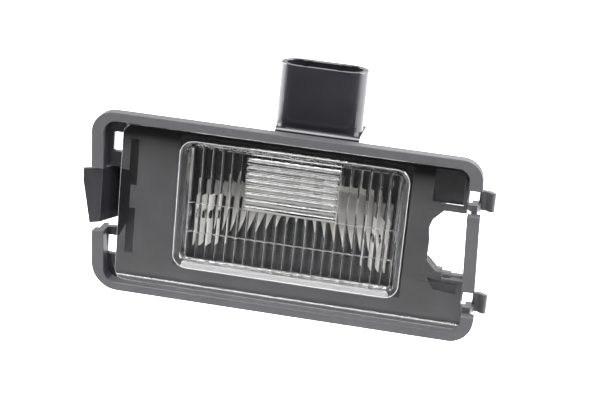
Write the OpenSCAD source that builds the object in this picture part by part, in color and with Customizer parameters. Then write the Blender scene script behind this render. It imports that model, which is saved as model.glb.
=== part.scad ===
// Rear number plate lamp: snap-in housing with plug socket, clear fluted lens,
// pressed reflector and two stamped contact strips that take a festoon bulb.
// The lens faces -Y, +X runs along the lamp and +Z points the way the plug socket opens.
// The origin is the middle of the rim's rear face, which seats on the panel.

/* [Rim] */
// Length of the rim between its two leaning ends
rim_w = 81; // [78:0.2:86]
// Height of the rim
rim_h = 38.6; // [37.6:0.2:42]
// Lean of the two ends, in degrees
rim_lean = 3.2; // [0:0.2:5]
// Radius of the rim's upper outer corners
rim_top_r = 4.5; // [4:0.1:6]
// Radius of the rim's lower outer corner at the tongue's end
rim_tongue_r = 5.9; // [4:0.1:6.5]
// Radius of the rim's lower outer corner at the hooks' end
rim_hook_r = 4.9; // [4:0.1:6.5]
// Radius of the rim's inner corners
rim_inner_r = 2.6; // [1.5:0.1:4]
// How far the rim stands in front of its seat
rim_t = 2.7; // [2.4:0.1:3.4]
// Width of the rim's face at the two ends
rim_end_face = 2.6; // [2:0.1:3.2]
// Width of the rim's face along the long sides
rim_long_face = 1.85; // [1.6:0.05:2.1]

/* [Tray] */
// Depth from the rim's face to the tray floor
tray_depth = 3.2; // [2.8:0.1:3.8]
// Thickness of the tray floor
floor_t = 1.5; // [1.2:0.1:2]
// Distance from the rim's outer edge to the skirt that enters the panel
skirt_inset = 1; // [0.8:0.1:1.4]
// Wall thickness of the skirt
skirt_t = 1.2; // [1:0.1:1.5]
// How far the skirt reaches behind the seat
skirt_depth = 3.6; // [3:0.1:4.2]

/* [Bulb chamber] */
// Width of the chamber's mouth
chamber_w = 48.4; // [47:0.2:50]
// Height of the chamber's mouth
chamber_h = 28.4; // [27:0.2:28.8]
// Depth of the chamber behind the seat
chamber_depth = 18; // [17:0.5:21]
// Wall thickness of the chamber
chamber_t = 1.2; // [1:0.1:1.5]
// How much the roof drops towards the back
roof_drop = 3.2; // [2:0.1:4]
// How much the other three walls close in towards the back
wall_draft = 0.8; // [0.4:0.1:1.4]

/* [Plug socket] */
// Outer width of the oval shroud
socket_w = 18.2; // [17:0.2:20]
// Outer thickness of the oval shroud
socket_d = 8; // [7.6:0.1:9]
// Wall thickness of the shroud
socket_t = 1.2; // [1:0.1:1.4]
// Height of the shroud's mouth above the origin
socket_top = 32.3; // [29:0.1:38]
// Distance of the shroud's middle from the seat
socket_y = 8.3; // [8:0.1:9]
// Distance of the shroud's middle from the origin, along the lamp
socket_x = 4.2; // [2:0.1:6]
// Height of the ledge that carries the shroud
ledge_z = 19.5; // [19.3:0.1:21]
// Depth of the plug space inside the shroud
socket_depth = 13; // [11:0.2:13.4]

/* [Lens] */
// Space between the rim's opening and the lens at the tongue's end
lens_space = 3.1; // [2.8:0.1:3.6]
// Height of the lens
lens_h = 33.9; // [32:0.1:34]
// Radius of the lens's corners
lens_r = 2.4; // [1.6:0.1:3]
// Distance of the lens's front from the rim's face
lens_recess = 0.8; // [0.6:0.1:1]
// Width of the recessed window
window_w = 47.6; // [44:0.2:48]
// Height of the recessed window
window_h = 27.5; // [24:0.1:27.8]
// Offset of the window's middle along the lamp
window_x = 1.3; // [1:0.1:1.6]
// Height of the window's middle
window_z = 1.5; // [1.2:0.1:1.7]
// Corner radius of the window's outer edge
window_r = 2.9; // [2.6:0.1:3.6]
// Width of the bright bevel round the window
bevel_w = 1.1; // [0.8:0.1:1.3]
// Depth of the bevel round the window
bevel_d = 0.8; // [0.5:0.1:1]
// Inset of the window's wall below the bevel
window_draft = 0.9; // [0.6:0.1:1.1]
// Depth of the window below the lens's front
window_depth = 2.6; // [2.2:0.1:3]
// Thickness of the window's floor
pane_t = 2.1; // [1.9:0.1:2.2]
// Height of the lip along the lens's lower edge
lip_h = 0.8; // [0.6:0.1:1.2]
// How far the lip stands in front of the lens
lip_rise = 0.35; // [0.2:0.05:0.5]

/* [Lens optics] */
// Number of hollow upright flutes across the window
flute_count = 21; // [18:1:25]
// Depth of an upright flute
flute_depth = 0.5; // [0.3:0.05:0.5]
// Height of the lowest band of flutes
low_band_h = 5.1; // [4:0.1:7]
// Height of the middle band of flutes
mid_band_h = 6.3; // [4:0.1:7]
// Step between one band of flutes and the next
band_step = 0.4; // [0.2:0.05:0.4]
// Width of the block of level rods in the middle
block_w = 19.4; // [15:0.2:22]
// Number of level rods in the block
rod_count = 8; // [7:1:10]

/* [Grip opening] */
// Left end of the opening beside the lens
grip_x = 29.9; // [29:0.1:31]
// Top of the opening
grip_top = 8.2; // [7.4:0.1:9]
// Bottom of the opening
grip_bottom = -6.2; // [-7:0.1:-5]

/* [Snap parts] */
// Height of the spring tongue
tongue_h = 12; // [10:0.1:12.8]
// Height of the gap in the rim round the tongue
tongue_gap = 13.6; // [13.2:0.1:14.4]
// Height of the gap's middle
tongue_z = 0.2; // [0:0.1:0.8]
// Thickness of the tongue
tongue_t = 1; // [0.8:0.05:1.2]
// How far the tongue's tip stands in front of the seat
tongue_reach = 3.5; // [3:0.1:4.4]
// How far the tongue's tip leans out past its bend in front
tongue_flare = 3.3; // [2:0.1:3.6]
// How far the tongue's bend lies behind the seat
tongue_root = 8; // [7:0.2:9]
// Slope of the tongue away from the lamp, in degrees
tongue_angle = 28; // [25:0.5:30]
// Height of each fixed hook
hook_h = 4; // [3:0.1:4.4]
// Height of the foot that joins a hook to the skirt
hook_foot = 1.5; // [1.2:0.1:1.8]
// How far each hook reaches past the skirt
hook_reach = 3.4; // [3:0.1:4]
// Height of the gap in the rim in front of each hook
hook_gap = 5.4; // [4.8:0.1:6]
// Length of the bar between the two hook gaps
bar_h = 16; // [15:0.1:17]
// Thickest panel that the hooks and the tongue hold
panel_t = 2; // [1.5:0.1:2.2]

/* [Bulb contacts] */
// Distance between the seats of the two contact leaves
seat_gap = 34.4; // [33:0.1:35.4]
// Distance of the bulb's axis from the rim's seat
bulb_y = 8.4; // [7.8:0.1:9]
// Height of the bulb's axis
bulb_z = -2.6; // [-3.4:0.1:-2.2]
// Offset of the bulb's middle along the lamp
bulb_x = 0.8; // [0.4:0.1:1.4]
// Thickness of the contact strips
strip_t = 0.5; // [0.4:0.05:0.6]
// How far a contact leaf reaches above the bulb's axis
leaf_up = 4.4; // [3.6:0.1:5]
// How far a contact leaf reaches below the bulb's axis
leaf_down = 6.6; // [5:0.1:7]
// Radius of the hole that takes the bulb's tip
seat_r = 1.1; // [0.8:0.1:1.6]
// Width of the plug blades
blade_w = 2.8; // [2.2:0.1:3]
// Distance between the two plug blades
blade_pitch = 5; // [4.4:0.1:6]
// Distance from the shroud's mouth down to the blades' tips
blade_sink = 5; // [4.5:0.1:6]

/* [Reflector] */
// Inner radius of the reflector's trough
reflector_r = 8.2; // [7.8:0.1:8.4]
// Thickness of the reflector
reflector_t = 0.4; // [0.3:0.05:0.5]
// Width of the reflector at its lower edge
reflector_w = 32.4; // [30:0.2:33]
// Width of the reflector at its upper edge
reflector_top_w = 25.2; // [22:0.2:26]
// Half of the angle that the trough wraps round the bulb
reflector_wrap = 72; // [60:1:80]
// Height of the arch cut out of the reflector's lower edge
arch_h = 8; // [6:0.2:9]

/* [Hidden] */
$fn = 64;
// Clearance between the lens and the walls beside it
lens_gap = 0.25;
// Clearance round a blade in its slot
blade_gap = 0.05;
// A small overrun that lets a cut pass through a face
over = 0.5;
// How far joined shapes run into each other
join = 0.2;
// How far the leaning sides keep inside their corner circles, so that they cross cleanly
ease = 0.002;

// Places along Y, from the rim's face to the back of the chamber
rim_face_y = -rim_t;
floor_y = rim_face_y + tray_depth;
floor_back_y = floor_y + floor_t;
lens_y = rim_face_y + lens_recess;
pane_y = lens_y + window_depth;
pane_back_y = pane_y + pane_t;
back_y = chamber_depth;
back_out_y = back_y + chamber_t;

// Outlines of the rim's opening and of the skirt
open_w = rim_w - 2 * rim_end_face;
open_h = rim_h - 2 * rim_long_face;
skirt_w = rim_w - 2 * skirt_inset;
skirt_h = rim_h - 2 * skirt_inset;
rim_radii = [rim_top_r, rim_top_r, rim_tongue_r, rim_hook_r];
open_radii = [rim_inner_r, rim_inner_r, rim_inner_r, rim_inner_r];
skirt_radii = inset_radii(rim_radii, skirt_inset);

// The lens hangs from the rim's upper inner edge
lens_top = open_h / 2 - lens_gap;
lens_z = lens_top - lens_h / 2;
lens_left = -open_w / 2 + lens_space;
lens_bottom = lens_z - lens_h / 2;

// Window, pane and chamber
pane_inset = bevel_w + window_draft;
pane_w = window_w - 2 * pane_inset;
pane_h = window_h - 2 * pane_inset;
pane_r = window_r - pane_inset;
pane_bottom = window_z - pane_h / 2;
pane_top = window_z + pane_h / 2;
flute_pitch = pane_w / flute_count;
flute_r = (pow(flute_pitch / 2, 2) + pow(flute_depth, 2)) / (2 * flute_depth);
line_low = pane_bottom + low_band_h;
line_high = line_low + mid_band_h;
block_x = 0.8;
block_margin = 0.9;
rod_margin = 0.1;
rod_stand = 0.35;
block_h = pane_top - line_high - block_margin;
rod_pitch = block_h / rod_count;
rod_r = 0.47 * rod_pitch;
rod_y = pane_y + rod_stand;
rod_end = 0.5 * rod_r;
rod_mid = 0.87 * rod_r;
rod_in = 0.37 * rod_r;
chamber_left = window_x - chamber_w / 2;
chamber_right = window_x + chamber_w / 2;
chamber_top = window_z + chamber_h / 2 + 0.3;
chamber_bottom = chamber_top - chamber_h;
roof_back = chamber_top - roof_drop;

// Slots, pockets and recesses in the tray floor
side_slot_w = 2.3;
side_slot_h = 4.2;
side_slot_z = [tongue_z + 0.8 - 11.3, tongue_z + 0.8 + 11.3];
pocket_w = 1.8;
pocket_h = 10;
pocket_wall = 0.8;
pocket_depth = 2.6;
pocket_x = lens_left + 1.4;
pocket_z = [tongue_z + 1 - 7.5, tongue_z + 1 + 7.5];
recess_depth = floor_t / 2;
recess_w = 6.2;
recess_margin = 1.2;
low_recess = [[0.8, -0.8], [7, -1.2], [7, -3.6], [2.2, -3.2]];
grip_sill = 0.3;
sill_x = [3.7, 5.5];
// Corners of the grip opening, from its upper and its lower left corner
grip_upper = [[2.8, 0], [0.7, -2.2], [0.1, -4], [0.5, -6.7]];
grip_lower = [[0.4, 3.3], [2.5, 1.2], [3.7, 1.2]];

// Gaps in the rim and the hooks that stand in them, measured along Z
bar_top = grip_top - 0.4;
bar_bottom = bar_top - bar_h;
bar_inset = 0.2;
hook_gaps = [bar_top, bar_bottom - hook_gap];
hook_feet = [bar_top + 0.2, bar_bottom - hook_gap - 0.3];
hook_reaches = [hook_reach, hook_reach - 0.25];
hook_t = 1.2;
hook_bend = 1.7;
hook_dip = 0.9;
hook_play = 0.6;
hook_rib = 0.8;

// Spring tongue
tongue_play = 0.25;
tongue_top = tongue_z + tongue_gap / 2 - tongue_play;
tongue_bottom = tongue_top - tongue_h;
tongue_slant = 0.35;
rim_corner = 6;
tongue_x = lens_left + 0.4;
fold_w = 0.8;
kink_y = -1;
lip_taper = 2.1;
lip_bend = 0.4;
catch_half = 3;
catch_depth = 2.2;
catch_y = panel_t + 1.2;
catch_ramp = 3.6;

// Edges of the lens
edge_w = 0.8;
edge_rise = 0.3;
back_margin = 1.2;
fillet_r = lip_h + 0.6;
fillet_z = lip_h + 1.1;
edge_in = 0.6;

// Contact strips
strip_y = back_y - strip_t / 2;
strip_h = 3.2;
strip_z = bulb_z + leaf_up - strip_h / 2;
bridge_z = roof_back - 0.6 - strip_t;
blade_top = socket_top - blade_sink;
blade_point = 1.6;
blade_nose = 0.9;
leaf_root = 2.6;
grip_rib_t = 1;
grip_rib_depth = 3.2;
grip_rib_drop = 0.4;

// Plug socket and its ledge
socket_floor = socket_top - socket_depth;
base_front = 2.6;
base_back = socket_y + socket_d / 2 + 0.6;
base_left = socket_x - 8.3;
base_right = socket_x + 9.3;
base_r = 1;
latch_w = 4;
latch_reach = 1.3;
latch_z = socket_top - 5.6;
latch_top = socket_top - 2;
groove_x = 3.6;
groove_w = 1;
groove_depth = 8;
groove_cut = 0.3 * socket_t;
slot_reach = 4;

// Curtain, ribs and gussets of the chamber
curtain_w = 13;
curtain_t = 1.2;
curtain_h = 4.6;
curtain_y = socket_y - 2.6;
rib_t = 1.2;
rib_x = 9;
rib_low = 7;
rib_high = 5.2;
rib_reach = 4;
gusset_t = 1;
gusset_w = 7;
gusset_h = 9;
gusset_edge = 1;
end_gussets = [-8, 12];
low_gussets = [-14, 16];
low_gusset_w = 3.6;
back_ribs = [chamber_left + 9, window_x, chamber_right - 9];
back_rib_rise = 0.8;
back_rib_low = 3;
back_rib_h = chamber_h - 8;

// Reflector, measured from the bulb's middle
reflector_skew = 3;
reflector_low = -3.8;
reflector_knee = [-14.5, 2.5];
reflector_high = reflector_r + 1;
reflector_lip = 1.2;

function lean(z) = -tan(rim_lean) * z;
function side_x(w, z) = w / 2 + lean(z);
function inset_radii(radii, d) = [for (r = radii) r - d];
function leaf_path(side, seat) = [
    [seat + side * leaf_root, strip_y],
    [seat + side * leaf_root, bulb_y + 6],
    [seat + side * 2.2, bulb_y + 4.4],
    [seat + side * 0.25, bulb_y],
    [seat + side * 2.9, bulb_y - 3.3]
];

// Extrudes an XZ outline from y0 to y1
module slab(y0, y1) {
    translate([0, y1, 0]) rotate([90, 0, 0]) linear_extrude(height = y1 - y0) children();
}

// Extrudes a YZ outline from x0 to x1
module rail(x0, x1) {
    translate([x0, 0, 0]) rotate([90, 0, 90]) linear_extrude(height = x1 - x0) children();
}

// Extrudes an XY outline from z0 to z1
module post(z0, z1) {
    translate([0, 0, z0]) linear_extrude(height = z1 - z0) children();
}

// Outline with leaning ends, with radii for its top left, top right, low left and low right corner
module lean_outline(w, h, radii) {
    out = [cos(rim_lean), sin(rim_lean)];
    function level(up, r) = up * (h / 2 - r);
    function middle(side, up, r) = [side * (w / 2 - r / cos(rim_lean)) + lean(level(up, r)), level(up, r)];
    tl = middle(-1, 1, radii[0]);
    tr = middle(1, 1, radii[1]);
    ll = middle(-1, -1, radii[2]);
    lr = middle(1, -1, radii[3]);
    polygon([
        [ll[0], -h / 2], [lr[0], -h / 2], lr + (radii[3] - ease) * out, tr + (radii[1] - ease) * out,
        [tr[0], h / 2], [tl[0], h / 2], tl - (radii[0] - ease) * out, ll - (radii[2] - ease) * out
    ]);
    translate(tl) circle(radii[0]);
    translate(tr) circle(radii[1]);
    translate(ll) circle(radii[2]);
    translate(lr) circle(radii[3]);
}

// Rectangle with round corners, about its own middle
module round_rect(w, h, r) {
    square([w, h - 2 * r], center = true);
    square([w - 2 * r, h], center = true);
    for (x = [-1, 1], z = [-1, 1]) {
        translate([x * (w / 2 - r), z * (h / 2 - r)]) circle(r);
    }
}

// Box with round corners that narrows by the same inset on all four sides
module tapered_box(w, h, r, y0, y1, inset) {
    x_in = w / 2 - r;
    z_in = h / 2 - r;
    post(-z_in, z_in) polygon([[-w / 2, y0], [w / 2, y0], [w / 2 - inset, y1], [-w / 2 + inset, y1]]);
    rail(-x_in, x_in) polygon([[y0, -h / 2], [y0, h / 2], [y1, h / 2 - inset], [y1, -h / 2 + inset]]);
    for (x = [-x_in, x_in], z = [-z_in, z_in]) {
        translate([x, y0, z]) rotate([-90, 0, 0]) cylinder(h = y1 - y0, r1 = r, r2 = r - inset);
    }
}

// Bent strip of even thickness along a list of points
module bent_strip(points, t) {
    for (i = [0 : len(points) - 2]) {
        step = points[i + 1] - points[i];
        translate(points[i]) rotate(atan2(step[1], step[0])) translate([0, -t / 2]) square([norm(step), t]);
    }
    for (i = [1 : len(points) - 2]) {
        translate(points[i]) circle(t / 2, $fn = 24);
    }
}

// Outline of the opening between the lens and the bar, ending at an outline of width w
module grip_outline(w, sill) {
    polygon([
        [side_x(w, grip_top), grip_top], for (p = grip_upper) [grip_x + p[0], grip_top + p[1]],
        for (p = grip_lower) [grip_x + p[0], grip_bottom + p[1]],
        [grip_x + sill_x[0], grip_bottom + 2 * sill], [grip_x + sill_x[1], grip_bottom + 2 * sill],
        [grip_x + sill_x[1], grip_bottom + sill], [side_x(w, grip_bottom), grip_bottom + sill]
    ]);
}

// Outline of the lens, which follows the rim's opening at one end
module lens_outline() {
    intersection() {
        lean_outline(open_w - 2 * lens_gap, open_h - 2 * lens_gap, open_radii);
        translate([lens_left + open_w / 2, lens_z]) round_rect(open_w, lens_h, lens_r);
    }
}

// Oval outline with two round ends
module oval(w, d) {
    square([w - d, d], center = true);
    for (side = [-1, 1]) {
        translate([side * (w - d) / 2, 0]) circle(d / 2);
    }
}

// Solid of the bulb chamber, grown by a wall
module chamber_form(wall, y0, y1) {
    slope = 1 / (back_y - floor_y);
    function at(y) = (y - floor_y) * slope;
    left0 = chamber_left - wall + wall_draft * at(y0);
    left1 = chamber_left - wall + wall_draft * at(y1);
    right0 = chamber_right + wall - wall_draft * at(y0);
    right1 = chamber_right + wall - wall_draft * at(y1);
    top0 = chamber_top + wall - roof_drop * at(y0);
    top1 = chamber_top + wall - roof_drop * at(y1);
    low0 = chamber_bottom - wall + wall_draft * at(y0);
    low1 = chamber_bottom - wall + wall_draft * at(y1);
    intersection() {
        post(low0 - 1, top0 + 1) polygon([[left0, y0], [right0, y0], [right1, y1], [left1, y1]]);
        rail(left0 - 1, right0 + 1) polygon([[y0, low0], [y0, top0], [y1, top1], [y1, low1]]);
    }
}

// Rim, tray floor and skirt
module tray() {
    slab(rim_face_y, 0) difference() {
        lean_outline(rim_w, rim_h, rim_radii);
        lean_outline(open_w, open_h, open_radii);
    }
    slab(0, floor_y) difference() {
        lean_outline(skirt_w, skirt_h, skirt_radii);
        lean_outline(open_w, open_h, open_radii);
    }
    slab(floor_y, floor_back_y) lean_outline(skirt_w, skirt_h, skirt_radii);
    slab(floor_back_y, skirt_depth) difference() {
        lean_outline(skirt_w, skirt_h, skirt_radii);
        lean_outline(skirt_w - 2 * skirt_t, skirt_h - 2 * skirt_t, inset_radii(skirt_radii, skirt_t));
    }
    // The bar between the hooks is a little thicker on its inner side
    slab(rim_face_y, 0) intersection() {
        lean_outline(rim_w, rim_h, rim_radii);
        polygon([
            [side_x(open_w, bar_top) - bar_inset, bar_top], [side_x(rim_w, bar_top), bar_top],
            [side_x(rim_w, grip_bottom), grip_bottom + join],
            [side_x(open_w, grip_bottom) - bar_inset, grip_bottom + join]
        ]);
    }
    // Closed backs of the two pockets behind the lens's left part
    for (z = pocket_z) {
        slab(floor_back_y - join, floor_y + pocket_depth + pocket_wall)
            translate([pocket_x - pocket_wall, z - pocket_h / 2 - pocket_wall])
                square([pocket_w + 2 * pocket_wall, pocket_h + 2 * pocket_wall]);
    }
}

// Everything that is cut out of the tray
module tray_cuts() {
    // Gap for the spring tongue, with a slanted lower edge
    gap_end = lens_left - join;
    gap_low = tongue_z - tongue_gap / 2;
    slab(rim_face_y - over, skirt_depth + over) polygon([
        [gap_end, gap_low + tongue_slant], [gap_end - rim_corner, gap_low - tongue_slant],
        [gap_end - rim_w, gap_low - tongue_slant], [gap_end - rim_w, gap_low + tongue_gap],
        [gap_end, gap_low + tongue_gap]
    ]);
    // Two slots beside the lens
    for (z = side_slot_z) {
        slab(floor_y - over, skirt_depth + over)
            translate([lens_left - side_slot_w - rod_margin, z - side_slot_h / 2])
                square([side_slot_w, side_slot_h]);
    }
    // Gaps in front of and above the two hooks
    for (i = [0, 1]) {
        z = hook_gaps[i];
        foot = hook_feet[i] + hook_foot;
        slab(rim_face_y - over, 0) translate([side_x(open_w, z) - 1, z]) square([rim_w / 2, hook_gap]);
        slab(-over, skirt_depth + over) translate([side_x(open_w, z) - lens_gap, foot])
            square([rim_w / 2, z + hook_gap - foot]);
    }
    // Outer side of the bar, a little inside the rim's outline
    slab(rim_face_y - over, 0) polygon([
        [side_x(rim_w, bar_top) - bar_inset, bar_top + join], [side_x(rim_w, bar_top) + 1, bar_top + join],
        [side_x(rim_w, bar_bottom) + 1, bar_bottom - join],
        [side_x(rim_w, bar_bottom) - bar_inset, bar_bottom - join]
    ]);
    slab(-over, skirt_depth + over) grip_outline(skirt_w - 2 * skirt_t, grip_sill);
    // Two deep pockets behind the lens's left part
    for (z = pocket_z) {
        slab(floor_y - over, floor_y + pocket_depth) translate([pocket_x, z - pocket_h / 2])
            square([pocket_w, pocket_h]);
    }
    // Shallow recesses behind the lens's right part, above and below the grip opening
    slab(floor_y - over, floor_y + recess_depth) translate([grip_x, grip_top + recess_margin])
        square([recess_w, open_h / 2 - grip_top - 2 * recess_margin]);
    slab(floor_y - over, floor_y + recess_depth) translate([grip_x, grip_bottom]) polygon(low_recess);
}

// Leaf spring with a catch for the panel and a lip to release it
module tongue() {
    wall_x = tongue_x + tongue_t;
    kink = [tongue_x - tan(tongue_angle) * (tongue_root - kink_y), kink_y];
    tip = kink + [-tongue_flare, lip_bend - kink_y - tongue_reach];
    catch = kink + [tan(tongue_angle) * catch_y, catch_y];
    difference() {
        union() {
            post(tongue_bottom, tongue_top) bent_strip([[wall_x, floor_y], [wall_x, tongue_root]], tongue_t);
            post(tongue_bottom, tongue_top) bent_strip([
                [wall_x, tongue_root - fold_w / 2], [tongue_x + fold_w / 2, tongue_root + fold_w / 2],
                [tongue_x - fold_w / 2, tongue_root - fold_w / 2], kink, tip
            ], tongue_t);
            post(tongue_z - catch_half, tongue_z + catch_half)
                polygon([catch, catch + [-catch_depth, 0], catch + [1.6 * tongue_t, catch_ramp]]);
        }
        // The lip narrows towards its lower end, and the lower edge rises towards the root
        slab(tip[1] - tongue_t, -lip_bend) polygon([
            [tip[0] - 2, tongue_bottom - 2], [tip[0] + lip_taper, tongue_bottom - 2],
            [tip[0] - join, tongue_top + 2 * join], [tip[0] - 2, tongue_top + 2]
        ]);
        slab(tip[1] - tongue_t, tongue_root + 2) polygon([
            [tip[0], tongue_bottom - 1], [tongue_x + 3, tongue_bottom - 1],
            [tongue_x + 3, tongue_bottom + tongue_slant], [tongue_x, tongue_bottom + tongue_slant],
            [tip[0], tongue_bottom]
        ]);
    }
}

// Fixed hook that reaches behind the panel
module hook(z, reach) {
    root = side_x(skirt_w, z);
    tip = root + reach;
    arm_y = panel_t + hook_t / 2 + hook_play;
    post(z, z + hook_h) {
        bent_strip([
            [root + hook_t / 2, arm_y], [tip - hook_bend, arm_y], [tip - hook_t / 2, arm_y - hook_dip]
        ], hook_t);
        translate([tip - hook_t / 2, arm_y - hook_dip]) circle(hook_t / 2);
        translate([root + hook_t / 2, arm_y]) circle(hook_t / 2);
    }
    post(z, z + hook_foot) polygon([
        [root - skirt_t, 0], [root, 0], [root + hook_rib, arm_y - hook_t / 2],
        [root + 2 * hook_rib, arm_y + hook_t / 2], [root - skirt_t, arm_y + hook_t / 2]
    ]);
}

// Oval plug socket on its ledge
module socket_tower() {
    difference() {
        union() {
            translate([socket_x, socket_y, 0]) post(chamber_top - 1, socket_top) oval(socket_w, socket_d);
            // Ledge with a rounded front edge
            rail(base_left, base_right) union() {
                translate([base_front, chamber_top - 2])
                    square([base_back - base_front, ledge_z - chamber_top + 2 - base_r]);
                translate([base_front + base_r, chamber_top - 2])
                    square([base_back - base_front - base_r, ledge_z - chamber_top + 2]);
                translate([base_front + base_r, ledge_z - base_r]) circle(base_r);
            }
            // Catch for the plug's latch, on the hidden face
            rail(socket_x - latch_w / 2, socket_x + latch_w / 2) translate([socket_y + socket_d / 2, 0])
                polygon([[-join, latch_z], [latch_reach, latch_z], [0, latch_top], [-join, latch_top]]);
        }
        translate([socket_x, socket_y, 0]) post(socket_floor, socket_top + over)
            oval(socket_w - 2 * socket_t, socket_d - 2 * socket_t);
        // Guide grooves for the plug in the two long walls
        for (side = [-1, 1]) {
            translate([socket_x + side * groove_x, socket_y, 0])
                post(socket_top - groove_depth, socket_top + over)
                    square([groove_w, socket_d - 2 * socket_t + 2 * groove_cut], center = true);
        }
    }
}

// Slots that hold the two blades
module blade_slots() {
    for (side = [-1, 1]) {
        translate([socket_x + side * blade_pitch / 2, socket_y, 0])
            post(roof_back - slot_reach, socket_floor + over)
                square([blade_w + 2 * blade_gap, strip_t + 2 * blade_gap], center = true);
    }
}

// Curtain below the roof that hides the blades, ribs that carry the reflector and ribs that grip the leaves
module chamber_ribs() {
    slab(curtain_y - curtain_t, curtain_y)
        translate([socket_x - curtain_w / 2, chamber_top - 1 - curtain_h]) square([curtain_w, curtain_h + 1]);
    for (side = [-1, 1]) {
        x = bulb_x + side * rib_x;
        difference() {
            rail(x - rib_t / 2, x + rib_t / 2) translate([bulb_y + rib_reach, bulb_z - rib_low])
                square([back_y - bulb_y - rib_reach + join, rib_low + rib_high]);
            translate([x - rib_t, bulb_y, bulb_z]) rotate([0, 90, 0])
                cylinder(h = 2 * rib_t, r = reflector_r + reflector_t);
            // Room for the strip along the back
            slab(back_y - strip_t - blade_gap, back_y) translate([x - rib_t, strip_z - strip_h / 2 - blade_gap])
                square([2 * rib_t, strip_h + 2 * blade_gap]);
        }
    }
    for (side = [-1, 1]) {
        root = bulb_x + side * (seat_gap / 2 + leaf_root);
        for (x = [root - strip_t / 2 - grip_rib_t - blade_gap, root + strip_t / 2 + blade_gap]) {
            slab(back_y - grip_rib_depth, back_y + join) translate([x, bulb_z - leaf_down - grip_rib_drop])
                square([grip_rib_t, leaf_up + leaf_down - strip_h]);
        }
    }
}

// Gussets between the chamber and the back of the tray floor, and ribs on the chamber's back
module gussets() {
    foot = floor_back_y - join;
    for (z = end_gussets) {
        post(z - gusset_t / 2, z + gusset_t / 2) polygon([
            [chamber_left + wall_draft, foot], [chamber_left - gusset_w, foot],
            [chamber_left - gusset_w, floor_back_y + gusset_edge],
            [chamber_left + join, floor_back_y + gusset_h]
        ]);
    }
    for (x = low_gussets) {
        rail(x - gusset_t / 2, x + gusset_t / 2) polygon([
            [foot, chamber_bottom], [foot, chamber_bottom - low_gusset_w],
            [floor_back_y + gusset_edge, chamber_bottom - low_gusset_w],
            [floor_back_y + gusset_h, chamber_bottom - 2 * join]
        ]);
    }
    for (x = back_ribs) {
        slab(back_out_y - join, back_out_y + back_rib_rise)
            translate([x - gusset_t / 2, chamber_bottom + back_rib_low]) square([gusset_t, back_rib_h]);
    }
}

module housing() {
    color("#2c2c2f") difference() {
        union() {
            difference() {
                tray();
                tray_cuts();
            }
            tongue();
            for (i = [0, 1]) {
                hook(hook_feet[i], hook_reaches[i]);
            }
            difference() {
                union() {
                    chamber_form(chamber_t, floor_y, back_out_y);
                    socket_tower();
                    gussets();
                }
                chamber_form(0, floor_y - over, back_y);
                blade_slots();
            }
            chamber_ribs();
        }
        chamber_form(0, floor_y - over, floor_back_y);
    }
}

// Hollow upright flutes, cut into the pane's front in three stepped bands
module flute_cuts() {
    bands = [[pane_bottom - over, line_low, 0], [line_low, line_high, 1], [line_high, pane_top + over, 2]];
    for (band = bands) {
        front = pane_y + band[2] * band_step;
        post(band[0], band[1]) intersection() {
            translate([window_x - pane_w / 2, pane_y - over]) square([pane_w, pane_t]);
            union() {
                translate([window_x - pane_w / 2, pane_y - over]) square([pane_w, over + band[2] * band_step]);
                for (i = [0 : flute_count - 1]) {
                    translate([window_x - pane_w / 2 + (i + 0.5) * flute_pitch, front + flute_depth - flute_r])
                        circle(flute_r);
                }
            }
        }
    }
}

// Block of level half-round rods with rounded ends, on a plateau in front of the pane
module rod_block() {
    half = block_w / 2;
    slab(rod_y, pane_back_y - join) translate([block_x - half - rod_margin, line_high])
        square([block_w + 2 * rod_margin, block_h]);
    for (i = [0 : rod_count - 1]) {
        translate([block_x, rod_y, line_high + (i + 0.5) * rod_pitch]) rotate([0, 90, 0]) rotate_extrude()
            polygon([
                [0, -half], [rod_end, -half], [rod_mid, rod_in - half], [rod_r, rod_mid - half],
                [rod_r, half - rod_mid], [rod_mid, half - rod_in], [rod_end, half], [0, half]
            ]);
    }
}

// Lip along the lower edge, with a hollow fillet on its inner side
module lower_lip() {
    intersection() {
        slab(lens_y - lip_rise, floor_y) lens_outline();
        rail(-rim_w, rim_w) difference() {
            translate([lens_y - lip_rise, lens_bottom]) square([lip_rise + join, 3 * lip_h]);
            translate([lens_y - fillet_r, lens_bottom + fillet_z]) circle(fillet_r);
            translate([lens_y - lip_h, lens_bottom + fillet_z]) square([lip_h, 3 * lip_h]);
        }
    }
}

// Raised edges beside and along the grip opening
module raised_edges() {
    slab(lens_y - edge_rise, lens_y + edge_rise) intersection() {
        lens_outline();
        union() {
            difference() {
                translate([grip_x, lens_bottom + lens_r]) square([rim_w, lens_h - 2 * lens_r]);
                translate([-edge_w, 0]) lens_outline();
            }
            translate([grip_x - edge_in, grip_top]) square([rim_w, 2 * edge_w]);
            translate([grip_x - edge_in, grip_bottom - 1.4 * edge_w]) square([rim_w, 1.4 * edge_w]);
        }
    }
}

module lens() {
    color("#dfe6ea", 0.4) {
        difference() {
            union() {
                slab(lens_y, floor_y) lens_outline();
                slab(floor_y - join, pane_back_y) translate([window_x, window_z])
                    round_rect(pane_w + 2 * back_margin, pane_h + 2 * back_margin, pane_r + back_margin);
                lower_lip();
                raised_edges();
            }
            translate([window_x, 0, window_z]) {
                tapered_box(window_w, window_h, window_r, lens_y, lens_y + bevel_d, bevel_w);
                tapered_box(window_w - 2 * bevel_w, window_h - 2 * bevel_w, window_r - bevel_w,
                    lens_y + bevel_d, pane_y, window_draft);
            }
            slab(lens_y - over, floor_y + over) grip_outline(rim_w, 0);
            flute_cuts();
        }
        rod_block();
    }
}

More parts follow.
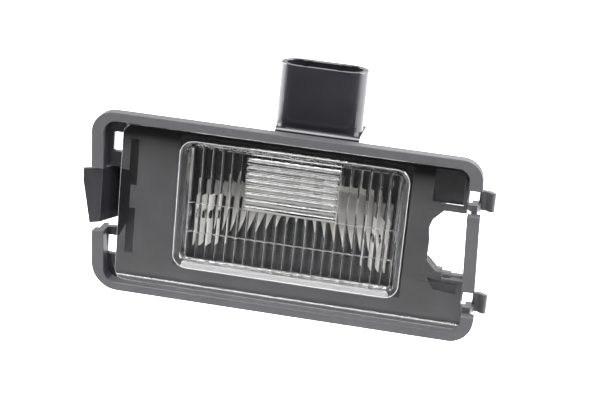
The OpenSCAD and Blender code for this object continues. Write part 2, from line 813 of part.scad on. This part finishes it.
module reflector() {
    color("#a39f9b") intersection() {
        rail(bulb_x - reflector_w, bulb_x + reflector_w) translate([bulb_y, bulb_z]) union() {
            intersection() {
                difference() {
                    circle(reflector_r + reflector_t);
                    circle(reflector_r);
                }
                polygon([
                    [0, 0], [3 * reflector_r * cos(reflector_wrap), -3 * reflector_r * sin(reflector_wrap)],
                    [3 * reflector_r, 0],
                    [3 * reflector_r * cos(reflector_wrap), 3 * reflector_r * sin(reflector_wrap)]
                ]);
            }
            // Folded lip along the upper edge
            rotate(reflector_wrap) translate([reflector_r, -reflector_t / 2])
                square([reflector_lip, reflector_t]);
        }
        // Outline with a sloping upper corner at the tongue's end and an arch in the lower edge
        slab(bulb_y - 2, back_y) translate([bulb_x, bulb_z]) polygon([
            [-reflector_w / 2, reflector_low], reflector_knee,
            [reflector_skew - reflector_top_w / 2, reflector_high],
            [reflector_skew + reflector_top_w / 2, reflector_high],
            [reflector_w / 2, reflector_low], [0, reflector_low + arch_h]
        ]);
    }
}

// Bulb seat, strip along the chamber's back and plug blade, in one stamping
module contact_strip(side) {
    seat = bulb_x + side * seat_gap / 2;
    root = seat + side * leaf_root;
    blade_x = socket_x + side * blade_pitch / 2;
    strip_left = min(root - strip_t / 2, blade_x - blade_w / 2);
    strip_right = max(root + strip_t / 2, blade_x + blade_w / 2);
    difference() {
        union() {
            post(bulb_z - leaf_down, bulb_z + leaf_up) bent_strip(leaf_path(side, seat), strip_t);
            slab(back_y - strip_t, back_y) translate([strip_left, strip_z - strip_h / 2])
                square([strip_right - strip_left, strip_h]);
            rail(blade_x - blade_w / 2, blade_x + blade_w / 2) bent_strip([
                [strip_y, strip_z], [strip_y, bridge_z], [socket_y, bridge_z], [socket_y, blade_top]
            ], strip_t);
        }
        // Hole for the bulb's tip
        translate([seat - leaf_root, bulb_y, bulb_z]) rotate([0, 90, 0])
            cylinder(h = 2 * leaf_root, r = seat_r);
        // Pointed tip of the blade
        for (edge = [-1, 1]) {
            slab(socket_y - 1, socket_y + 1) polygon([
                [blade_x + edge * (blade_w / 2 + over), blade_top - blade_point],
                [blade_x + edge * (blade_w / 2 + over), blade_top + over],
                [blade_x + edge * (blade_w / 2 - blade_nose), blade_top + over]
            ]);
        }
    }
}

module contact_strip_left() {
    color("#c8c8c8") contact_strip(-1);
}

module contact_strip_right() {
    color("#c8c8c8") contact_strip(1);
}

housing();
lens();
reflector();
contact_strip_left();
contact_strip_right();
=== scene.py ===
"""Looks for the number plate lamp: materials, edge rounding, sheet parts, light and camera."""
import math

import bpy
from mathutils import Matrix, Vector


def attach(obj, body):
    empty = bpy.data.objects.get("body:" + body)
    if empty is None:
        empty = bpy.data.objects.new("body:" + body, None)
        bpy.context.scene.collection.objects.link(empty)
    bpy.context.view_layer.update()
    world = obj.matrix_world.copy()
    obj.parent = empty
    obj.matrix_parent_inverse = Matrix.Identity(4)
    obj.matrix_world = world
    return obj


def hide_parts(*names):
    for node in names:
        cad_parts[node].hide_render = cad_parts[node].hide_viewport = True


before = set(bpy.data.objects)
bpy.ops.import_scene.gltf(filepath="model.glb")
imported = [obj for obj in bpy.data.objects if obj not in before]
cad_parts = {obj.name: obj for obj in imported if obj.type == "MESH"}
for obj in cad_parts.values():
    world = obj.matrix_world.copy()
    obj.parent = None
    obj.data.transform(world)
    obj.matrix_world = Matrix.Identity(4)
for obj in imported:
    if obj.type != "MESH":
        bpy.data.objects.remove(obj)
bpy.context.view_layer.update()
MM = 0.001

# The photograph's view, solved as a perspective camera
VIEW_AZIMUTH = 8.542
VIEW_ELEVATION = 17.37
VIEW_ROLL = 5.562
VIEW_DISTANCE = 330.6 * MM
VIEW_AIM = Vector((3.19, -1.9, 6.08)) * MM
VIEW_LENS = 97.2
VIEW_NEAR = 0.01
VIEW_FAR = 20.0
SENSOR_WIDTH = 36.0

# Softboxes: azimuth, elevation, distance, width, height, power and colour
LIGHTS = {
    "key": (-10, 62, 0.9, 0.8, 0.75, 24.0, (1.0, 1.0, 1.0)),
    "left": (-100, 12, 0.8, 0.5, 0.6, 22.0, (1.0, 1.0, 1.0)),
    "right": (96, 18, 0.8, 0.5, 0.6, 22.0, (0.96, 0.95, 1.0)),
    "back": (170, 35, 1.0, 0.6, 0.5, 4.0, (1.0, 1.0, 1.0)),
}

# The camera sees a white room, mirrored rays one that is dark in front, and other rays a dim one
FRONT_TONE = 0.05
WHITE = 1.0
ROOM_FADE = (-0.6, 0.25)
ROOM_LIGHT = 0.5

# The floor, with the places along Y between which mirrored rays see it fade to white
FLOOR_Z = -62 * MM
FLOOR_SIZE = 4.0
FLOOR_TONE = 0.8
FLOOR_GLOW = 0.5
FLOOR_FADE = (-0.2, 0.1)

# Noise runs mostly between these two values
NOISE_LOW = 0.3
NOISE_HIGH = 0.7

# The patterns in the materials: how fine each one is, and how deep
CLOUD_SCALE = 90.0
GRAIN_SCALE = 5200.0
GRAIN_DEPTH = 0.012 * MM
COARSE_GRAIN_SCALE = 3800.0
COARSE_GRAIN_DEPTH = 0.03 * MM
ROLLING_SCALE = 900.0
ROLLING_DETAIL = 3.0
ROLLING_DEPTH = 0.01 * MM
WAVE_SCALE = 160.0
WAVE_DEPTH = 0.01 * MM

# How much the plastics bend light, how much the chamber shines (kept low as painted shade), and the tint
# of the lens's shadow
HOUSING_IOR = 1.5
LENS_IOR = 1.49
CHAMBER_SHINE = 0.1
LENS_SHADOW = (0.9, 0.9, 0.9, 1)

# A Mix node's sockets: its factor, its two values and its result
MIX_SOCKETS = {"FLOAT": (0, 2, 3, 0), "RGBA": (0, 6, 7, 2)}

# A rod's clearness at each upward slope: haze that the lamps light into a faint lower line and a bright
# upper one, as painted highlights
ROD_HIGHLIGHT_SLOPES = (
    (-0.46, 1.0), (-0.34, 0.75), (-0.22, 0.75), (-0.1, 1.0),
    (0.46, 1.0), (0.6, 0.8), (0.78, 0.8), (0.92, 1.0),
)

# Places on the part as boxes in millimetres: the two ends along X, Y and Z
END = math.inf
ALL = (-END, END)
RIM = (ALL, (-2.75, 0.4), ALL)
RIM_FRONT = ((-END, 36), (-3.0, -1.6), ALL)
RIM_END = ((-END, -35), (-2.75, 0.4), ALL)
HOOKS = ((38.5, END), (-END, 5), ALL)
TONGUE = ((-END, -33), ALL, (-7, 7.2))
TRAY_FLOOR = (ALL, (0.39, 0.6), ALL)
CHAMBER = ((-23, 25.6), (0.6, 18.1), (-12.6, 16.1))
SOCKET_MOUTH = (ALL, ALL, (31.5, END))
LENS_FRONT = ((-END, 27), (-END, -1.5), ALL)
WINDOW_WALL = ((-21.7, 24.3), (-1.2, 0.72), (-11.5, 14.5))
PANE = ((-20.7, 23.3), (0.3, 2.05), (-10.5, 13.5))
ROD_BLOCK = ((-9.1, 10.7), (0.2, 1.07), (1.1, 12.4))

# Limits on a face's direction: along Y for a front and for a steep wall, along X for the end wall
FRONT_Y = -0.9
STEEP_Y = 0.7
END_WALL_X = 0.5

# The tray floor is dark and glossy beyond the lens's end
LENS_END = -34.8 * MM
END_BLUR = 0.1 * MM
END_TONE = (0.012, 0.012, 0.014, 1)
END_ROUGHNESS = 0.15

# The haze at the foot of the window's walls, painted light for the light these walls catch, starts and is
# full at these places along Y
WALL_FOOT = (0.3 * MM, 0.6 * MM)

# Edges that bend by more than SHARP_ANGLE can be rounded, and a bend under FLAT_ANGLE is no edge
SHARP_ANGLE = math.radians(28)
FLAT_ANGLE = math.radians(0.2)
ROUNDING_STEPS = 2
FACE_WEIGHT = 60

# Points closer than WELD_GAP are joined, and edges match by their ends in this many digits of a mm
WELD_GAP = 0.002 * MM
PLACE_DIGITS = 3

# Widths of the rounding, and the share of it that each kind of lens edge gets
HOUSING_ROUND = 0.14 * MM
LENS_ROUND = 0.12 * MM
WINDOW_LINE = 0.5
FLUTE_LINE = 0.2

# The bulb's axis, with the reflector's outline measured from it
BULB = Vector((0.8, 8.4, -2.6)) * MM
TROUGH_R = 8.2 * MM
TROUGH_WRAP = math.radians(72)
SHEET_T = 0.4 * MM
SHEET_HALF = 16.2 * MM
SHEET_LOW = -5.7 * MM
SHEET_HIGH = 9.2 * MM
ARCH_H = 6.2 * MM
LIP = 1.2 * MM
KNEE = Vector((-14.5, 2.5)) * MM
TOP_LEFT = -9.6 * MM
TOP_RIGHT = 15.6 * MM
COLUMNS = 64
ROWS = 32

# The bulb leaves stand SEAT_GAP apart, with each hole's axis HOLE_OUT further out
SEAT_GAP = 34.4 * MM
HOLE_R = 1.1 * MM
HOLE_OUT = 1.5 * MM
HOLE_DEPTH = 12 * MM
HOLE_SIDES = 48


def direction(azimuth, elevation):
    """Unit vector from the object towards a place at this azimuth and elevation."""
    turn = math.radians(azimuth)
    rise = math.radians(elevation)
    level = math.cos(rise)
    return Vector((math.sin(turn) * level, -math.cos(turn) * level, math.sin(rise)))


def add_camera():
    back = direction(VIEW_AZIMUTH, VIEW_ELEVATION)
    level = Vector((0, 0, 1)).cross(back).normalized()
    upright = back.cross(level)
    roll = math.radians(VIEW_ROLL)
    right = level * math.cos(roll) + upright * math.sin(roll)
    up = back.cross(right)
    turn = Matrix((right, up, back)).transposed().to_4x4()
    data = bpy.data.cameras.new("camera")
    data.lens = VIEW_LENS
    data.sensor_width = SENSOR_WIDTH
    data.clip_start = VIEW_NEAR
    data.clip_end = VIEW_FAR
    camera = bpy.data.objects.new("camera", data)
    camera.matrix_world = Matrix.Translation(VIEW_AIM + back * VIEW_DISTANCE) @ turn
    bpy.context.scene.collection.objects.link(camera)
    bpy.context.scene.camera = camera


def add_lights():
    for name, (azimuth, elevation, distance, width, height, power, colour) in LIGHTS.items():
        data = bpy.data.lights.new(name, "AREA")
        data.shape = "RECTANGLE"
        data.size = width
        data.size_y = height
        data.energy = power
        data.color = colour
        lamp = bpy.data.objects.new(name, data)
        away = direction(azimuth, elevation)
        lamp.location = away * distance
        lamp.rotation_mode = "QUATERNION"
        lamp.rotation_quaternion = away.to_track_quat("Z", "Y")
        bpy.context.scene.collection.objects.link(lamp)


def mix_value(nodes, links, fac, first, second, kind="FLOAT"):
    """Mixes two numbers, colours or sockets by a factor socket."""
    fac_at, first_at, second_at, result_at = MIX_SOCKETS[kind]
    mix = nodes.new("ShaderNodeMix")
    mix.data_type = kind
    links.new(fac, mix.inputs[fac_at])
    for value, socket in ((first, mix.inputs[first_at]), (second, mix.inputs[second_at])):
        if isinstance(value, bpy.types.NodeSocket):
            links.new(value, socket)
        else:
            socket.default_value = value
    return mix.outputs[result_at]


def ray_value(nodes, links, camera, mirrored, other):
    """One value for camera rays, one for glossy and transmission rays, and one for all others."""
    path = nodes.new("ShaderNodeLightPath")
    either = nodes.new("ShaderNodeMath")
    either.operation = "MAXIMUM"
    links.new(path.outputs["Is Glossy Ray"], either.inputs[0])
    links.new(path.outputs["Is Transmission Ray"], either.inputs[1])
    seen = mix_value(nodes, links, either.outputs[0], other, mirrored)
    return mix_value(nodes, links, path.outputs["Is Camera Ray"], seen, camera)


def fade(nodes, links, source, output, axis, ends, low, high, kind="SMOOTHSTEP"):
    """Runs from low to high as a place or direction goes between two ends along an axis."""
    place = nodes.new(source)
    split = nodes.new("ShaderNodeSeparateXYZ")
    links.new(place.outputs[output], split.inputs[0])
    node = nodes.new("ShaderNodeMapRange")
    node.interpolation_type = kind
    node.inputs["From Min"].default_value = ends[0]
    node.inputs["From Max"].default_value = ends[1]
    node.inputs["To Min"].default_value = low
    node.inputs["To Max"].default_value = high
    links.new(split.outputs[axis], node.inputs["Value"])
    return node.outputs[0]


def add_world():
    """White behind the object, with a dark studio in front of it for mirrored rays."""
    world = bpy.data.worlds.new("studio")
    world.use_nodes = True
    nodes, links = world.node_tree.nodes, world.node_tree.links
    background = nodes["Background"]
    background.inputs["Color"].default_value = (1, 1, 1, 1)
    room = fade(nodes, links, "ShaderNodeTexCoord", "Generated", "Y", ROOM_FADE, FRONT_TONE, WHITE)
    links.new(ray_value(nodes, links, WHITE, room, ROOM_LIGHT), background.inputs["Strength"])
    bpy.context.scene.world = world


def add_floor():
    """A pale floor that glows for the camera, and that mirrored rays see darken towards the front."""
    half = FLOOR_SIZE / 2
    mesh = bpy.data.meshes.new("floor")
    corners = [(-half, -half), (half, -half), (half, half), (-half, half)]
    mesh.from_pydata([(x, y, FLOOR_Z) for x, y in corners], [], [(0, 1, 2, 3)])
    floor = bpy.data.objects.new("floor", mesh)
    bpy.context.scene.collection.objects.link(floor)
    material = bpy.data.materials.new("floor_white")
    material.use_nodes = True
    nodes, links = material.node_tree.nodes, material.node_tree.links
    nodes.clear()
    near = fade(nodes, links, "ShaderNodeNewGeometry", "Position", "Y", FLOOR_FADE, FRONT_TONE, WHITE)
    diffuse = nodes.new("ShaderNodeBsdfDiffuse")
    tone = ray_value(nodes, links, FLOOR_TONE, near, FLOOR_TONE)
    links.new(tone, diffuse.inputs["Color"])
    glow = nodes.new("ShaderNodeEmission")
    links.new(ray_value(nodes, links, FLOOR_GLOW, 0.0, 0.0), glow.inputs["Strength"])
    both = nodes.new("ShaderNodeAddShader")
    out = nodes.new("ShaderNodeOutputMaterial")
    links.new(diffuse.outputs[0], both.inputs[0])
    links.new(glow.outputs[0], both.inputs[1])
    links.new(both.outputs[0], out.inputs["Surface"])
    mesh.materials.append(material)


def new_material(name):
    material = bpy.data.materials.new(name)
    material.use_nodes = True
    nodes, links = material.node_tree.nodes, material.node_tree.links
    return material, nodes, links, nodes["Principled BSDF"]


def add_noise(nodes, links, scale, detail, roughness):
    coordinates = nodes.new("ShaderNodeTexCoord")
    noise = nodes.new("ShaderNodeTexNoise")
    noise.inputs["Scale"].default_value = scale
    noise.inputs["Detail"].default_value = detail
    noise.inputs["Roughness"].default_value = roughness
    links.new(coordinates.outputs["Object"], noise.inputs["Vector"])
    return noise.outputs["Fac"]


def ramp(nodes, links, fac, low, high):
    """Mixes two colours by a noise."""
    node = nodes.new("ShaderNodeValToRGB")
    node.color_ramp.elements[0].position = NOISE_LOW
    node.color_ramp.elements[0].color = (*low, 1)
    node.color_ramp.elements[1].position = NOISE_HIGH
    node.color_ramp.elements[1].color = (*high, 1)
    links.new(fac, node.inputs["Fac"])
    return node.outputs["Color"]


def spread(nodes, links, fac, low, high):
    """Maps a noise to the range low to high."""
    node = nodes.new("ShaderNodeMapRange")
    node.inputs["From Min"].default_value = NOISE_LOW
    node.inputs["From Max"].default_value = NOISE_HIGH
    node.inputs["To Min"].default_value = low
    node.inputs["To Max"].default_value = high
    links.new(fac, node.inputs["Value"])
    return node.outputs[0]


def bump(nodes, links, fac, distance, strength):
    node = nodes.new("ShaderNodeBump")
    node.inputs["Strength"].default_value = strength
    node.inputs["Distance"].default_value = distance
    links.new(fac, node.inputs["Height"])
    return node.outputs["Normal"]


def plastic(name, dark, light, smooth, rough, grain=GRAIN_SCALE, grain_depth=GRAIN_DEPTH):
    """Moulded black plastic with a fine grain and faint cloudiness."""
    material, nodes, links, shader = new_material(name)
    cloud = add_noise(nodes, links, CLOUD_SCALE, detail=4.0, roughness=0.6)
    fine = add_noise(nodes, links, grain, detail=2.0, roughness=0.5)
    links.new(ramp(nodes, links, cloud, dark, light), shader.inputs["Base Color"])
    links.new(spread(nodes, links, fine, smooth, rough), shader.inputs["Roughness"])
    links.new(bump(nodes, links, fine, grain_depth, strength=0.6), shader.inputs["Normal"])
    shader.inputs["IOR"].default_value = HOUSING_IOR
    return material


def metal(name, dark, light, smooth, rough, stretch, metallic):
    """Sheet metal with rolling marks along one direction."""
    material, nodes, links, shader = new_material(name)
    coordinates = nodes.new("ShaderNodeTexCoord")
    mapping = nodes.new("ShaderNodeMapping")
    mapping.inputs["Scale"].default_value = stretch
    links.new(coordinates.outputs["Object"], mapping.inputs["Vector"])
    noise = nodes.new("ShaderNodeTexNoise")
    noise.inputs["Scale"].default_value = ROLLING_SCALE
    noise.inputs["Detail"].default_value = ROLLING_DETAIL
    links.new(mapping.outputs["Vector"], noise.inputs["Vector"])
    fac = noise.outputs["Fac"]
    links.new(ramp(nodes, links, fac, dark, light), shader.inputs["Base Color"])
    links.new(spread(nodes, links, fac, smooth, rough), shader.inputs["Roughness"])
    links.new(bump(nodes, links, fac, ROLLING_DEPTH, strength=0.4), shader.inputs["Normal"])
    shader.inputs["Metallic"].default_value = metallic
    return material


def slope_highlight_haze(nodes, links, slopes):
    """The clearness at each upward slope, from -1 for downward to 1 for upward; the haze it leaves is a
    painted highlight.
    """
    ends = (-1.0, 1.0)
    slope = fade(nodes, links, "ShaderNodeNewGeometry", "True Normal", "Z", ends, 0.0, 1.0, "LINEAR")
    haze = nodes.new("ShaderNodeValToRGB")
    stops = haze.color_ramp.elements
    while len(stops) < len(slopes):
        stops.new(1.0)
    for stop, (place, value) in zip(stops, slopes):
        stop.position = (place + 1) / 2
        stop.color = (value, value, value, 1)
    links.new(slope, haze.inputs["Fac"])
    return haze.outputs["Color"]


def clear_plastic(name, clearness=1.0, foot=None, slopes=(), tone=0.98):
    """Clear plastic that lets light through, with haze where its form gathers light; the haze is painted
    light.

    foot gives the two places along Y between which a wall turns hazy.
    slopes gives the clearness of a rod at each upward slope.
    """
    material, nodes, links, shader = new_material(name)
    wave = add_noise(nodes, links, WAVE_SCALE, detail=2.0, roughness=0.4)
    shader.inputs["Base Color"].default_value = (tone, tone, tone, 1)
    shader.inputs["Transmission Weight"].default_value = clearness
    if foot:
        haze = fade(nodes, links, "ShaderNodeTexCoord", "Object", "Y", foot, 1.0, clearness)
        links.new(haze, shader.inputs["Transmission Weight"])
    if slopes:
        links.new(slope_highlight_haze(nodes, links, slopes), shader.inputs["Transmission Weight"])
    shader.inputs["IOR"].default_value = LENS_IOR
    links.new(spread(nodes, links, wave, low=0.015, high=0.045), shader.inputs["Roughness"])
    links.new(bump(nodes, links, wave, WAVE_DEPTH, strength=0.25), shader.inputs["Normal"])
    path = nodes.new("ShaderNodeLightPath")
    clear = nodes.new("ShaderNodeBsdfTransparent")
    clear.inputs["Color"].default_value = LENS_SHADOW
    mix = nodes.new("ShaderNodeMixShader")
    links.new(path.outputs["Is Shadow Ray"], mix.inputs["Fac"])
    links.new(shader.outputs[0], mix.inputs[1])
    links.new(clear.outputs[0], mix.inputs[2])
    links.new(mix.outputs[0], nodes["Material Output"].inputs["Surface"])
    return material


def tray_plastic():
    """The tray's plastic, which turns dark and glossy beyond the lens's end."""
    material = plastic(
        "tray_plastic", dark=(0.1, 0.1, 0.103), light=(0.125, 0.125, 0.129), smooth=0.4, rough=0.55
    )
    nodes, links = material.node_tree.nodes, material.node_tree.links
    shader = nodes["Principled BSDF"]
    ends = (LENS_END - END_BLUR, LENS_END)
    place = fade(nodes, links, "ShaderNodeTexCoord", "Object", "X", ends, 0.0, 1.0)
    colour = shader.inputs["Base Color"].links[0].from_socket
    links.new(mix_value(nodes, links, place, END_TONE, colour, "RGBA"), shader.inputs["Base Color"])
    matt = shader.inputs["Roughness"].links[0].from_socket
    links.new(mix_value(nodes, links, place, END_ROUGHNESS, matt), shader.inputs["Roughness"])
    return material


def shaded_chamber_plastic():
    """The chamber's plastic, darker than the outside and hardly shining: painted shade inside the closed
    chamber.
    """
    # Painted shade: a darker, duller black for the dim inside of the chamber
    material = plastic(
        "shaded_chamber_plastic", dark=(0.004, 0.004, 0.005), light=(0.006, 0.006, 0.007), smooth=0.3, rough=0.45
    )
    shader = material.node_tree.nodes["Principled BSDF"]
    shader.inputs["Specular IOR Level"].default_value = CHAMBER_SHINE
    return material


def within(middle, box):
    """Whether a place in millimetres lies inside a box."""
    return all(low < value < high for value, (low, high) in zip(middle, box))


def on_rim(middle, normal):
    """The grained faces of the rim and the hooks, but not the tongue."""
    return (within(middle, RIM) or within(middle, HOOKS)) and not within(middle, TONGUE)


def on_end_wall(middle, normal):
    """The rim's inner wall at the tongue's end."""
    return within(middle, RIM_END) and normal.x > END_WALL_X and not within(middle, TONGUE)


def on_tray_floor(middle, normal):
    """The tray floor's front, which is seen through the lens."""
    return within(middle, TRAY_FLOOR) and normal.y < FRONT_Y and not within(middle, TONGUE)


def in_chamber(middle, normal):
    """The inside of the bulb chamber."""
    return within(middle, CHAMBER)


def on_rods(middle, normal):
    """The fronts of the level rods in the lens's window."""
    return within(middle, ROD_BLOCK)


def on_window_wall(middle, normal):
    """The steep walls of the lens's recessed window."""
    return within(middle, WINDOW_WALL) and abs(normal.y) < STEEP_Y and not within(middle, ROD_BLOCK)


def housing_edge_weight(middle):
    """Rounds the rim's front edges and the socket's mouth, and leaves the others sharp."""
    rim_front = within(middle, RIM_FRONT) and not within(middle, TONGUE)
    return 1.0 if rim_front or within(middle, SOCKET_MOUTH) else 0.0


def lens_edge_weight(middle):
    """Rounds the window's outer line, and less the flutes' cusps and the steps between bands."""
    if within(middle, LENS_FRONT):
        return WINDOW_LINE
    if within(middle, PANE) and not within(middle, ROD_BLOCK):
        return FLUTE_LINE
    return 0.0


def mark_edges(piece, weight_at):
    """Gives each sharp edge the bevel weight that a rule on its middle says."""
    mesh = piece.data
    places = [tuple(round(c / MM, PLACE_DIGITS) for c in vertex.co) for vertex in mesh.vertices]
    sides = {}
    for face in mesh.polygons:
        for a, b in face.edge_keys:
            sides.setdefault(tuple(sorted((places[a], places[b]))), []).append(face.normal.copy())
    weights = mesh.attributes.new("bevel_weight_edge", "FLOAT", "EDGE")
    limit = math.cos(SHARP_ANGLE)
    for edge in mesh.edges:
        ends = tuple(sorted(places[index] for index in edge.vertices))
        normals = sides.get(ends, [])
        if any(normal.dot(normals[0]) < limit for normal in normals):
            middle = (Vector(ends[0]) + Vector(ends[1])) / 2
            weights.data[edge.index].value = weight_at(middle)


def add_weld(piece):
    weld = piece.modifiers.new("weld", "WELD")
    weld.merge_threshold = WELD_GAP


def round_edges(piece, width, weight_at, slot=-1):
    """Rounds a CAD piece's marked edges with modifiers, which leave its own mesh alone."""
    mark_edges(piece, weight_at)
    add_weld(piece)
    flat = piece.modifiers.new("flat_faces", "DECIMATE")
    flat.decimate_type = "DISSOLVE"
    flat.angle_limit = FLAT_ANGLE
    flat.delimit = {"MATERIAL"}
    bevel = piece.modifiers.new("round_edges", "BEVEL")
    bevel.width = width
    bevel.segments = ROUNDING_STEPS
    bevel.limit_method = "WEIGHT"
    bevel.use_clamp_overlap = False
    bevel.material = slot
    normals = piece.modifiers.new("normals", "WEIGHTED_NORMAL")
    normals.keep_sharp = True
    normals.weight = FACE_WEIGHT


def dress(piece, materials):
    piece.data.materials.clear()
    for material in materials:
        piece.data.materials.append(material)


def give_faces(piece, index, wanted):
    """Gives a material slot to the faces that a rule on their middle and direction picks."""
    for face in piece.data.polygons:
        if wanted(face.center / MM, face.normal):
            face.material_index = index


def finish_housing():
    """Glossy black, with a grained rim and hooks, a dull end wall and tray floor, and a dark dull chamber
    that is painted shade.
    """
    black = plastic(
        "black_plastic", dark=(0.008, 0.008, 0.0095), light=(0.014, 0.014, 0.016), smooth=0.07, rough=0.14
    )
    grained = plastic(
        "grained_plastic", dark=(0.037, 0.037, 0.039), light=(0.045, 0.045, 0.048), smooth=0.42, rough=0.6,
        grain=COARSE_GRAIN_SCALE, grain_depth=COARSE_GRAIN_DEPTH
    )
    dull = plastic(
        "end_plastic", dark=(0.01, 0.01, 0.012), light=(0.016, 0.016, 0.018), smooth=0.4, rough=0.55
    )
    inner = shaded_chamber_plastic()
    tray = tray_plastic()
    materials = [black, grained, tray, dull, inner]
    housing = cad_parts["housing"]
    dress(housing, materials)
    give_faces(housing, materials.index(inner), in_chamber)
    give_faces(housing, materials.index(grained), on_rim)
    give_faces(housing, materials.index(dull), on_end_wall)
    give_faces(housing, materials.index(tray), on_tray_floor)
    round_edges(housing, HOUSING_ROUND, housing_edge_weight)


def finish_lens():
    """Clear plastic, a little hazy at the window's walls, the rods and the rounded edges: the haze is
    painted light where these catch light.
    """
    # Painted light: grey haze on the window's steep walls, fuller at their foot, that the lamps light up
    wall = clear_plastic("clear_wall_highlight", clearness=0.8, foot=WALL_FOOT, tone=0.72)
    # Painted highlights: bands of haze on the rods' slopes that the lamps light into bright lines
    rod = clear_plastic("clear_rod_highlight", slopes=ROD_HIGHLIGHT_SLOPES)
    clear = clear_plastic("clear_plastic")
    # Painted highlights: haze on the rounded edges that the lamps light into thin bright lines
    edge = clear_plastic("clear_edge_highlight", clearness=0.6)
    materials = [clear, edge, rod, wall]
    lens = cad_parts["lens"]
    dress(lens, materials)
    give_faces(lens, materials.index(rod), on_rods)
    give_faces(lens, materials.index(wall), on_window_wall)
    round_edges(lens, LENS_ROUND, lens_edge_weight, slot=materials.index(edge))


def sheet_top(x):
    """Height of the sheet's outline at x, both measured from the bulb's axis."""
    corners = [
        (-SHEET_HALF, SHEET_LOW), KNEE, (TOP_LEFT, SHEET_HIGH), (TOP_RIGHT, SHEET_HIGH),
        (SHEET_HALF, SHEET_LOW)
    ]
    for (x0, z0), (x1, z1) in zip(corners, corners[1:]):
        if x <= x1:
            break
    return z0 + (z1 - z0) * (x - x0) / (x1 - x0)


def sheet_form():
    """The trough's points and faces, with its arched lower edge and the lip folded along its top."""
    points, faces = [], []
    lip_columns, lip_points = [], []
    high = TROUGH_R * math.sin(TROUGH_WRAP)
    lip_end = (TROUGH_R + LIP) * Vector((0, math.cos(TROUGH_WRAP), math.sin(TROUGH_WRAP)))
    for i in range(COLUMNS + 1):
        x = -SHEET_HALF + 2 * SHEET_HALF * i / COLUMNS
        low = SHEET_LOW + ARCH_H * (1 - abs(x) / SHEET_HALF)
        outline = sheet_top(x)
        top = max(min(outline, high), low)
        if outline > lip_end.z:
            lip_columns.append(i)
            lip_points.append(BULB + Vector((x, 0, 0)) + lip_end)
        for j in range(ROWS + 1):
            z = low + (top - low) * j / ROWS
            points.append(BULB + Vector((x, math.sqrt(TROUGH_R ** 2 - z ** 2), z)))
    for i in range(COLUMNS):
        for j in range(ROWS):
            a = i * (ROWS + 1) + j
            faces.append((a, a + 1, a + ROWS + 2, a + ROWS + 1))
    first = len(points)
    points.extend(lip_points)
    for k, column in enumerate(lip_columns[:-1]):
        a = column * (ROWS + 1) + ROWS
        faces.append((a, first + k, first + k + 1, a + ROWS + 1))
    return points, faces


def add_reflector():
    """The reflector's sheet, whose arched lower edge reaches lower than the CAD sheet's."""
    satin = metal(
        "satin_sheet", dark=(0.42, 0.4, 0.375), light=(0.52, 0.5, 0.475), smooth=0.4, rough=0.6,
        stretch=(0.05, 1, 1), metallic=0.5
    )
    points, faces = sheet_form()
    mesh = bpy.data.meshes.new("reflector_sheet")
    mesh.from_pydata(points, [], faces)
    mesh.validate()
    piece = bpy.data.objects.new("reflector_sheet", mesh)
    bpy.context.scene.collection.objects.link(piece)
    add_weld(piece)
    solid = piece.modifiers.new("solid", "SOLIDIFY")
    solid.thickness = SHEET_T
    solid.offset = 1
    dress(piece, [satin])
    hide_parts("reflector")
    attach(piece, "root")


def add_strip(name, side, material):
    """A copy of the contact strip whose leaf has its hole open to the front."""
    piece = bpy.data.objects.new(name + "_pierced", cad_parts[name].data.copy())
    bpy.context.scene.collection.objects.link(piece)
    add_weld(piece)
    bpy.ops.mesh.primitive_cylinder_add(vertices=HOLE_SIDES, radius=HOLE_R, depth=HOLE_DEPTH)
    cutter = bpy.context.object
    cutter.rotation_euler = (math.pi / 2, 0, 0)
    cutter.location = BULB + Vector((side * (SEAT_GAP / 2 + HOLE_OUT), 0, 0))
    cut = piece.modifiers.new("hole", "BOOLEAN")
    cut.operation = "DIFFERENCE"
    cut.solver = "EXACT"
    cut.object = cutter
    bpy.context.view_layer.update()
    graph = bpy.context.evaluated_depsgraph_get()
    pierced = bpy.data.meshes.new_from_object(piece.evaluated_get(graph))
    piece.modifiers.clear()
    piece.data = pierced
    bpy.data.objects.remove(cutter, do_unlink=True)
    dress(piece, [material])
    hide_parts(name)
    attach(piece, "root")


def add_strips():
    tinned = metal(
        "tinned_strip", dark=(0.6, 0.59, 0.57), light=(0.7, 0.69, 0.67), smooth=0.3, rough=0.5,
        stretch=(1, 1, 0.06), metallic=0.4
    )
    add_strip("contact_strip_left", -1, tinned)
    add_strip("contact_strip_right", 1, tinned)


add_camera()
add_lights()
add_world()
add_floor()
finish_housing()
finish_lens()
add_reflector()
add_strips()
bpy.context.scene.view_settings.view_transform = "Standard"
